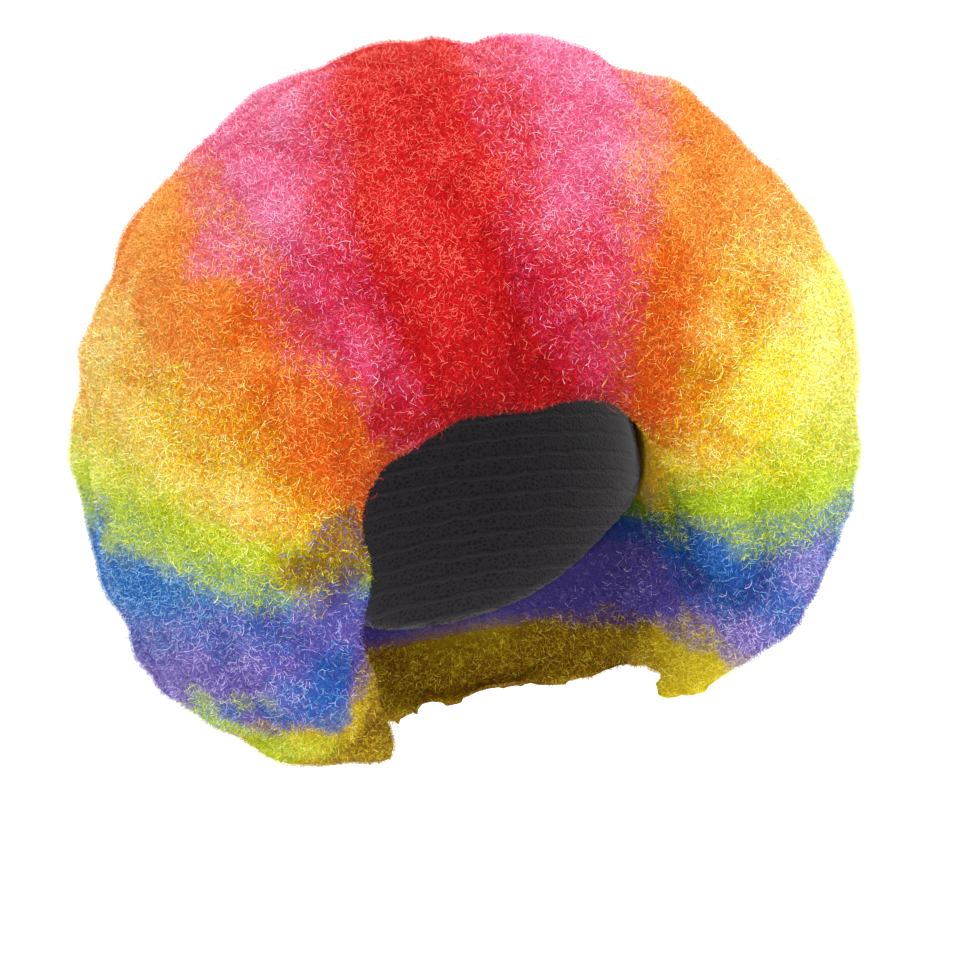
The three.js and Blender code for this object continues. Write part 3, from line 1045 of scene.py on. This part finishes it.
        # Vertex colour: the mixed dyes at their painted shade and light.
        colour = sum(weights[:, b : b + 1] * DYES[b].shaded(self.tone[used]) for b in Band)
        dye = piece.attributes.new(self.DYE, "FLOAT_COLOR", "POINT")
        dye.data.foreach_set("color", np.c_[colour, np.ones(len(used))].astype(np.float32).ravel())
        guest = np.array([b != band and b == GUEST_DYES.get(band) for b in Band], float)
        others = weights * (1.0 - guest)
        for name, values in (
            (self.TONE, self.tone[used]),
            (self.COVER, self.cover[used]),
            (self.ABOVE, others[:, : int(band)].sum(axis=1)),
            (self.BELOW, others[:, int(band) + 1 :].sum(axis=1)),
            (self.GUEST, weights @ guest),
        ):
            attribute = piece.attributes.new(name, "FLOAT", "POINT")
            attribute.data.foreach_set("value", values.astype(np.float32))
        made = linked(f"{band.title}_fleece", piece)
        piece.materials.append(FleeceFinish(band).material())
        return made

    @staticmethod
    def _owner(labels: np.ndarray, corners: tuple[int, ...]) -> int:
        """Band that holds most of a face's corners, the upper one where they are even."""
        found = sorted(int(labels[v]) for v in corners)
        return max(found, key=found.count)


@dataclass(frozen=True)
class Curl:
    """One shape of curled fibre: how far it turns in its own plane, twists and lifts, from end to end."""

    turn: float
    twist: float
    lift: float


class CurlGroup:
    """Geometry group of one curled ribbon of fibre, lying in its own plane with its middle at the origin."""

    NAME = "curled_ribbon"

    @classmethod
    def tree(cls) -> bpy.types.NodeTree:
        """The group, made once.

        Returns:
            The node group.
        """
        if cls.NAME in bpy.data.node_groups:
            return bpy.data.node_groups[cls.NAME]
        group = bpy.data.node_groups.new(cls.NAME, "GeometryNodeTree")
        for name, kind in (
            ("Length", "NodeSocketFloat"),
            ("Width", "NodeSocketFloat"),
            ("Turn", "NodeSocketFloat"),
            ("Twist", "NodeSocketFloat"),
            ("Lift", "NodeSocketFloat"),
            ("Segments", "NodeSocketInt"),
        ):
            group.interface.new_socket(name, in_out="INPUT", socket_type=kind)
        group.interface.new_socket("Ribbon", in_out="OUTPUT", socket_type="NodeSocketGeometry")
        kit = NodeTree(group)
        enter = kit.add("NodeGroupInput").outputs
        rings = kit.sum(MathOp.ADD, enter["Segments"], 1.0)
        flat = kit.add(
            "GeometryNodeMeshGrid",
            {"Size X": enter["Width"], "Size Y": enter["Length"], "Vertices X": 2, "Vertices Y": rings},
        ).outputs["Mesh"]
        place = kit.add("ShaderNodeSeparateXYZ", {0: kit.add("GeometryNodeInputPosition").outputs[0]}).outputs
        share = kit.sum(MathOp.DIVIDE, place["Y"], enter["Length"])
        for name, value in (
            (FrizzCoat.ALONG, kit.sum(MathOp.ADD, share, 0.5)),
            (FrizzCoat.ACROSS, kit.sum(MathOp.GREATER, place["X"], 0.0)),
        ):
            flat = kit.add(
                "GeometryNodeStoreNamedAttribute",
                {"Geometry": flat, "Name": name, "Value": value},
                data_type="FLOAT",
                domain="POINT",
            ).outputs["Geometry"]
        bend = cls._bend(kit, enter, place, share)
        bent = kit.add("GeometryNodeSetPosition", {"Geometry": flat, "Position": bend})
        leave = kit.add("NodeGroupOutput")
        kit.link(bent.outputs["Geometry"], leave.inputs["Ribbon"])
        return group

    @staticmethod
    def _bend(
        kit: NodeTree,
        enter: bpy.types.bpy_prop_collection,
        place: bpy.types.bpy_prop_collection,
        share: bpy.types.NodeSocket,
    ) -> bpy.types.NodeSocket:
        """Place of each point of the flat strip on the curl.

        Args:
            kit: The group's tree.
            enter: The group's inputs.
            place: The flat point's axes.
            share: Where the point is along the fibre, from -0.5 to 0.5.

        Returns:
            Socket of the place.
        """
        radius = kit.sum(MathOp.DIVIDE, enter["Length"], enter["Turn"])
        angle = kit.sum(MathOp.MULTIPLY, share, enter["Turn"])
        twist = kit.sum(MathOp.MULTIPLY, share, enter["Twist"])
        aside = kit.sum(MathOp.MULTIPLY, place["X"], kit.sum(MathOp.COSINE, twist))
        reach = kit.sum(MathOp.ADD, radius, aside)
        x = kit.sum(MathOp.SUBTRACT, radius, kit.sum(MathOp.MULTIPLY, reach, kit.sum(MathOp.COSINE, angle)))
        y = kit.sum(MathOp.MULTIPLY, reach, kit.sum(MathOp.SINE, angle))
        edge = kit.sum(MathOp.MULTIPLY, place["X"], kit.sum(MathOp.SINE, twist))
        z = kit.sum(MathOp.ADD, edge, kit.sum(MathOp.MULTIPLY, share, enter["Lift"]))
        return kit.add("ShaderNodeCombineXYZ", {"X": x, "Y": y, "Z": z}).outputs[0]


@dataclass(frozen=True)
class Layer:
    """One layer of curled fibres: how many, how large, how steep, and how far off the matted depth."""

    per_square_metre: float
    length: float
    width: float
    segments: int
    least_tilt: float
    most_tilt: float
    off_skin: float
    curls: tuple[Curl, ...]
    seed: int

    @property
    def triangles_per_square_metre(self) -> float:
        """Triangles of the layer, two for each segment of a fibre."""
        return 2 * self.segments * self.per_square_metre


COAT = Layer(
    per_square_metre=980_000.0,
    length=0.0027,
    width=0.0002,
    segments=1,
    least_tilt=0.1,
    most_tilt=0.75,
    off_skin=0.0008,
    curls=(Curl(0.6, 0.6, 0.0004), Curl(1.2, -0.9, -0.0006), Curl(1.9, 0.8, 0.0006)),
    seed=11,
)
CURLS = Layer(
    per_square_metre=32_000.0,
    length=0.0048,
    width=0.0002,
    segments=3,
    least_tilt=0.05,
    most_tilt=0.5,
    off_skin=0.0012,
    curls=(Curl(0.9, 0.9, 0.0008), Curl(1.8, -0.9, 0.001), Curl(2.8, 1.0, 0.0014)),
    seed=29,
)
WISPS = Layer(
    per_square_metre=1_500.0,
    length=0.0115,
    width=0.0002,
    segments=6,
    least_tilt=0.05,
    most_tilt=0.6,
    off_skin=0.0026,
    curls=(Curl(1.4, 1.2, 0.002), Curl(2.4, -1.2, 0.003), Curl(3.6, 1.4, 0.003)),
    seed=47,
)


@dataclass
class FrizzCoat:
    """Loose curled fibres that stand over the matted depth of each band."""

    layers: tuple[Layer, ...] = (COAT, CURLS, WISPS)
    spare_share: float = 0.22
    most_triangles: float = 180_000.0

    MAP = "OFBake"
    ALONG = "along"
    ACROSS = "across"
    SHADE = "shade"
    SMALLEST = 0.7
    LARGEST = 1.35
    TONE_SPREAD = 0.48
    GLINT_SHARE = 0.11
    MAP_WIDTH = 0.006
    SEED_STEP = 100
    # Just under zero, so that a piece of both sides takes all its roots.
    FROM_MIDDLE = -1e-9
    # Sockets of a random draw: its least value, its most and its result.
    NUMBER_SOCKETS = (2, 3, 1)
    WHOLE_SOCKETS = (4, 5, 2)

    def grow(self, fleece: bpy.types.Object, band: Band) -> list[bpy.types.Object]:
        """Grows the fibres of one band, in two halves where the band is large.

        Args:
            fleece: The band's matted depth.
            band: The band.

        Returns:
            The pieces of loose fibres.
        """
        area = sum(face.area for face in fleece.data.polygons)
        triangles = area * sum(layer.triangles_per_square_metre for layer in self.layers)
        sides = (Side.RIGHT, Side.LEFT) if triangles > self.most_triangles else (Side.BOTH,)
        finish = FrizzFinish(band).material()
        return [self._half(fleece, band, side, finish) for side in sides]

    def _half(
        self, fleece: bpy.types.Object, band: Band, side: Side, finish: bpy.types.Material
    ) -> bpy.types.Object:
        """Grows the fibres on one side of a band.

        Args:
            fleece: The band's matted depth.
            band: The band.
            side: The side.
            finish: Material of the fibres.

        Returns:
            The piece of loose fibres.
        """
        made = linked(f"{band.title}_frizz{side.ending}", fleece.data.copy())
        made.data.materials.clear()
        modifier = made.modifiers.new("frizz", "NODES")
        modifier.node_group = self.tree()
        items = modifier.node_group.interface.items_tree
        sockets = {item.name: item.identifier for item in items if item.in_out == "INPUT"}
        modifier[sockets["Fullness"]] = 1.0
        modifier[sockets["Side"]] = float(side)
        modifier[sockets["Seed"]] = self.SEED_STEP * (int(band) + 1)
        modifier[sockets["Material"]] = finish
        settled(made)
        for name in (self.ALONG, self.ACROSS, self.SHADE, *HairBall.ATTRIBUTES):
            spare = made.data.attributes.get(name)
            if spare is not None:
                made.data.attributes.remove(spare)
        return made

    def tree(self) -> bpy.types.NodeTree:
        """Geometry nodes that grow the layers on a piece of matted fibre, made once.

        Returns:
            The node tree.
        """
        name = "frizz_coat"
        if name in bpy.data.node_groups:
            return bpy.data.node_groups[name]
        tree = bpy.data.node_groups.new(name, "GeometryNodeTree")
        tree.interface.new_socket("Fleece", in_out="INPUT", socket_type="NodeSocketGeometry")
        tree.interface.new_socket("Fullness", in_out="INPUT", socket_type="NodeSocketFloat")
        tree.interface.new_socket("Side", in_out="INPUT", socket_type="NodeSocketFloat")
        tree.interface.new_socket("Seed", in_out="INPUT", socket_type="NodeSocketInt")
        tree.interface.new_socket("Material", in_out="INPUT", socket_type="NodeSocketMaterial")
        tree.interface.new_socket("Frizz", in_out="OUTPUT", socket_type="NodeSocketGeometry")
        kit = NodeTree(tree)
        enter = kit.add("NodeGroupInput").outputs
        joined = kit.add("GeometryNodeJoinGeometry")
        for layer in self.layers:
            kit.link(self._layer(kit, enter, layer), joined.inputs[0])
        real = kit.add("GeometryNodeRealizeInstances", {0: joined.outputs[0]}).outputs[0]
        across = kit.sum(MathOp.MULTIPLY, self._read(kit, self.ACROSS), self.MAP_WIDTH)
        wide = kit.sum(MathOp.ADD, self._read(kit, self.SHADE), across)
        spread = kit.add("ShaderNodeCombineXYZ", {"X": wide, "Y": self._read(kit, self.ALONG)}).outputs[0]
        mapped = kit.add(
            "GeometryNodeStoreNamedAttribute",
            {"Geometry": real, "Name": self.MAP, "Value": spread},
            data_type="FLOAT2",
            domain="CORNER",
        ).outputs["Geometry"]
        dressed = kit.add("GeometryNodeSetMaterial", {"Geometry": mapped, "Material": enter["Material"]})
        leave = kit.add("NodeGroupOutput")
        kit.link(dressed.outputs[0], leave.inputs["Frizz"])
        return tree

    def _layer(
        self, kit: NodeTree, enter: bpy.types.bpy_prop_collection, layer: Layer
    ) -> bpy.types.NodeSocket:
        """Instances of one layer's curls on the matted fibre.

        Args:
            kit: The tree.
            enter: The tree's inputs.
            layer: The layer.

        Returns:
            Socket of the instances.
        """
        seed = kit.sum(MathOp.ADD, enter["Seed"], layer.seed)
        cover = self._read(kit, HairBall.COVER)
        place = kit.add("ShaderNodeSeparateXYZ", {0: kit.add("GeometryNodeInputPosition").outputs[0]}).outputs
        outwards = kit.sum(MathOp.MULTIPLY, place["X"], enter["Side"])
        inside = kit.sum(MathOp.GREATER, outwards, self.FROM_MIDDLE)
        full = kit.sum(MathOp.MULTIPLY, cover, layer.per_square_metre)
        density = kit.sum(MathOp.MULTIPLY, full, enter["Fullness"])
        roots = kit.add(
            "GeometryNodeDistributePointsOnFaces",
            {"Mesh": enter["Fleece"], "Selection": inside, "Density": density, "Seed": seed},
            distribute_method="RANDOM",
        )
        shaded = kit.add(
            "GeometryNodeStoreNamedAttribute",
            {"Geometry": roots.outputs["Points"], "Name": self.SHADE, "Value": self._shade(kit, seed)},
            data_type="FLOAT",
            domain="POINT",
        ).outputs["Geometry"]
        off = kit.add(
            "ShaderNodeVectorMath", {0: roots.outputs["Normal"], "Scale": layer.off_skin}, operation="SCALE"
        ).outputs[0]
        raised = kit.add("GeometryNodeSetPosition", {"Geometry": shaded, "Offset": off}).outputs[0]
        curls = kit.add("GeometryNodeJoinGeometry")
        for curl in layer.curls:
            ribbon = kit.add("GeometryNodeGroup", {}, node_tree=CurlGroup.tree())
            for socket, value in (
                ("Length", layer.length),
                ("Width", layer.width),
                ("Turn", curl.turn),
                ("Twist", curl.twist),
                ("Lift", curl.lift),
                ("Segments", layer.segments),
            ):
                ribbon.inputs[socket].default_value = value
            single = kit.add("GeometryNodeGeometryToInstance", {0: ribbon.outputs[0]})
            kit.link(single.outputs[0], curls.inputs[0])
        return kit.add(
            "GeometryNodeInstanceOnPoints",
            {
                "Points": raised,
                "Instance": curls.outputs[0],
                "Pick Instance": True,
                "Instance Index": self._whole(kit, 0, len(layer.curls) - 1, seed, Draw.SHAPE),
                "Rotation": self._turned(kit, roots.outputs["Normal"], layer, seed),
                "Scale": self._number(kit, self.SMALLEST, self.LARGEST, seed, Draw.SCALE),
            },
        ).outputs[0]

    def _shade(self, kit: NodeTree, seed: bpy.types.NodeSocket) -> bpy.types.NodeSocket:
        """Where each fibre's dye, with its painted shade, light or highlight, lies on the finish's ramp.

        Args:
            kit: The tree.
            seed: The layer's seed.

        Returns:
            Socket of the place on the ramp.
        """
        pick = self._number(kit, 0.0, 1.0, seed, Draw.DYE)
        above = kit.sum(MathOp.LESS, pick, self._read(kit, HairBall.ABOVE))
        bar = kit.sum(MathOp.SUBTRACT, 1.0, self._read(kit, HairBall.BELOW))
        below = kit.sum(MathOp.GREATER, pick, bar)
        stray = kit.sum(MathOp.GREATER, pick, kit.sum(MathOp.SUBTRACT, bar, self._read(kit, HairBall.GUEST)))
        near = kit.sum(MathOp.SUBTRACT, kit.sum(MathOp.SUBTRACT, 1.0, above), below)
        group = kit.sum(MathOp.ADD, near, kit.sum(MathOp.MULTIPLY, stray, 2.0))
        # Painted shade and light from the fleece, spread at random, and a share of fibres pushed to painted
        # highlights.
        off_tone = self._number(kit, -self.TONE_SPREAD, self.TONE_SPREAD, seed, Draw.TONE)
        varied = kit.sum(MathOp.ADD, self._read(kit, HairBall.TONE), off_tone)
        glint = kit.sum(MathOp.LESS, self._number(kit, 0.0, 1.0, seed, Draw.GLINT), self.GLINT_SHARE)
        tone = kit.sum(MathOp.ADD, varied, glint, clamp=True)
        narrowed = kit.sum(MathOp.MULTIPLY, tone, 1.0 - 2.0 * FrizzFinish.EDGE)
        inside = kit.sum(MathOp.ADD, narrowed, FrizzFinish.EDGE)
        return kit.sum(MathOp.DIVIDE, kit.sum(MathOp.ADD, group, inside), float(FrizzFinish.GROUPS))

    def _turned(
        self, kit: NodeTree, normal: bpy.types.NodeSocket, layer: Layer, seed: bpy.types.NodeSocket
    ) -> bpy.types.NodeSocket:
        """How each curl lies: spun at random on the skin, then tipped up.

        Args:
            kit: The tree.
            normal: The skin's normal at each root.
            layer: The layer.
            seed: Its seed.

        Returns:
            Socket of the rotation.
        """
        upright = kit.add("FunctionNodeAlignRotationToVector", {"Vector": normal}, axis="Z").outputs[0]
        spin = self._number(kit, 0.0, math.tau, seed, Draw.SPIN)
        tilt = self._number(kit, layer.least_tilt, layer.most_tilt, seed, Draw.TILT)
        for axis, angle in (((0.0, 0.0, 1.0), spin), ((1.0, 0.0, 0.0), tilt)):
            step = kit.add("FunctionNodeAxisAngleToRotation", {"Axis": axis, "Angle": angle}).outputs[0]
            upright = kit.add(
                "FunctionNodeRotateRotation", {"Rotation": upright, "Rotate By": step}, rotation_space="LOCAL"
            ).outputs[0]
        return upright

    @staticmethod
    def _read(kit: NodeTree, name: str) -> bpy.types.NodeSocket:
        """Value of an attribute of the piece."""
        return kit.add("GeometryNodeInputNamedAttribute", {"Name": name}, data_type="FLOAT").outputs[0]

    def _number(
        self, kit: NodeTree, least: float, most: float, seed: bpy.types.NodeSocket, draw: Draw
    ) -> bpy.types.NodeSocket:
        """Random number for each fibre, from the layer's seed and the number of the draw."""
        return self._drawn(kit, "FLOAT", self.NUMBER_SOCKETS, (least, most), seed, draw)

    def _whole(
        self, kit: NodeTree, least: int, most: int, seed: bpy.types.NodeSocket, draw: Draw
    ) -> bpy.types.NodeSocket:
        """Random whole number for each fibre, from the layer's seed and the number of the draw."""
        return self._drawn(kit, "INT", self.WHOLE_SOCKETS, (least, most), seed, draw)

    @staticmethod
    def _drawn(
        kit: NodeTree,
        kind: str,
        sockets: tuple[int, int, int],
        ends: tuple[float, float],
        seed: bpy.types.NodeSocket,
        draw: Draw,
    ) -> bpy.types.NodeSocket:
        """Random value for each fibre.

        Args:
            kit: The tree.
            kind: Blender's type of the value.
            sockets: Where the node has its least value, its most and its result.
            ends: The least value and the most.
            seed: The layer's seed.
            draw: Which of the fibre's draws it is.

        Returns:
            Socket of the value.
        """
        least, most, result = sockets
        turn = kit.sum(MathOp.ADD, seed, float(draw))
        inputs = {least: ends[0], most: ends[1], "Seed": turn}
        return kit.add("FunctionNodeRandomValue", inputs, data_type=kind).outputs[result]


@dataclass
class StretchCap:
    """The net cap inside the hair."""

    levels: int = 1

    def build(self) -> bpy.types.Object:
        """Makes the cap as a smooth bowl of net.

        Returns:
            The piece.
        """
        made = linked("cap_net", merged_copy(["cap"]))
        rounded = made.modifiers.new("rounded", "SUBSURF")
        rounded.levels = self.levels
        rounded.render_levels = self.levels
        settled(made)
        made.data.shade_smooth()
        made.data.materials.clear()
        made.data.materials.append(NetFinish().material())
        return made


@dataclass(frozen=True)
class Lamp:
    """One large soft light that looks at the wig."""

    name: str
    place: tuple[float, float, float]
    size: float
    power: float


LAMPS: tuple[Lamp, ...] = (
    Lamp("key", (-1.1, -2.3, 1.5), 1.3, 44.0),
    Lamp("fill", (1.9, -1.7, 0.5), 1.6, 30.0),
    Lamp("top", (0.1, 0.2, 2.4), 1.8, 34.0),
    Lamp("back", (0.4, 2.2, 1.0), 1.8, 34.0),
)


@dataclass
class Studio:
    """White studio: a floor that sweeps up behind, soft lights, and the camera."""

    floor_z: float = -0.62
    front_y: float = -6.0
    sweep_y: float = 2.6
    sweep_radius: float = 1.2
    sweep_points: int = 17
    top_z: float = 5.0
    half_width: float = 6.0
    grain_per_metre: float = 40.0
    paper_tints: tuple[float, float] = (0.94, 0.97)
    paper_roughness: float = 0.95
    surround: float = 0.95
    sensor_mm: float = 36.0
    farthest: float = 60.0
    view: View = field(default_factory=View)

    def build(self) -> None:
        """Sets up the floor, the lights and the camera."""
        self._floor()
        self._lights()
        self._camera()

    def _floor(self) -> None:
        """Floor and backdrop in one sweep."""
        corner = [
            (
                self.sweep_y + self.sweep_radius * math.sin(turn),
                self.floor_z + self.sweep_radius * (1.0 - math.cos(turn)),
            )
            for turn in np.linspace(0.0, math.pi / 2, self.sweep_points)
        ]
        line = [(self.front_y, self.floor_z), *corner, (corner[-1][0], self.top_z)]
        points = [(side * self.half_width, y, z) for y, z in line for side in (-1, 1)]
        faces = [(2 * i, 2 * i + 1, 2 * i + 3, 2 * i + 2) for i in range(len(line) - 1)]
        mesh = bpy.data.meshes.new("studio_floor")
        mesh.from_pydata(points, [], faces)
        mesh.shade_smooth()
        floor = linked("studio_floor", mesh)
        paper, kit, shader = new_material("white_paper")
        grain = kit.add("ShaderNodeTexNoise", {"Vector": kit.place(), "Scale": self.grain_per_metre})
        tint = kit.ranged(grain.outputs["Fac"], wanted=self.paper_tints)
        kit.link(tint, shader.inputs["Base Color"])
        shader.inputs["Roughness"].default_value = self.paper_roughness
        shader.inputs["Specular IOR Level"].default_value = 0.0
        mesh.materials.append(paper)

    def _lights(self) -> None:
        """Large soft lights on all sides and a bright even surround."""
        world = bpy.data.worlds.new("studio")
        bpy.context.scene.world = world
        world.use_nodes = True
        background = world.node_tree.nodes["Background"]
        background.inputs["Color"].default_value = (1.0, 1.0, 1.0, 1.0)
        background.inputs["Strength"].default_value = self.surround
        for lamp in LAMPS:
            light = bpy.data.lights.new(lamp.name, "AREA")
            light.shape = "DISK"
            light.size = lamp.size
            light.energy = lamp.power
            made = bpy.data.objects.new(lamp.name, light)
            made.location = lamp.place
            towards = Vector(self.view.aim) - Vector(lamp.place)
            made.rotation_euler = towards.to_track_quat("-Z", "Y").to_euler()
            made.visible_camera = False
            bpy.context.scene.collection.objects.link(made)

    def _camera(self) -> None:
        """Camera at the picture's angle, tipped as the wig is worn."""
        data = bpy.data.cameras.new("camera")
        data.sensor_width = self.sensor_mm
        data.lens = self.sensor_mm * self.view.focal_pixels / self.view.image
        data.clip_end = self.farthest
        made = bpy.data.objects.new("camera", data)
        bpy.context.scene.collection.objects.link(made)
        turned = Matrix(self.view.axes()).transposed().to_4x4()
        made.matrix_world = Matrix.Translation(self.view.eye()) @ turned
        bpy.context.scene.camera = made
        bpy.context.scene.view_settings.view_transform = "Standard"


def main() -> None:
    """Builds the wig's pieces in order, then the studio, and notes the sizes."""
    logging.basicConfig(level=logging.INFO, format="%(name)s: %(message)s")
    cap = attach(StretchCap().build(), BODY)
    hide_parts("cap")
    LOG.info("%s: %d faces", cap.name, len(cap.data.polygons))
    coat = FrizzCoat()
    for band, fleece in HairBall().build().items():
        frizz = coat.grow(fleece, band)
        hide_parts(band.node)
        for piece in (fleece, *frizz):
            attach(piece, BODY)
            LOG.info("%s: %d faces", piece.name, len(piece.data.polygons))
    Studio().build()


if __name__ == "__main__":
    main()
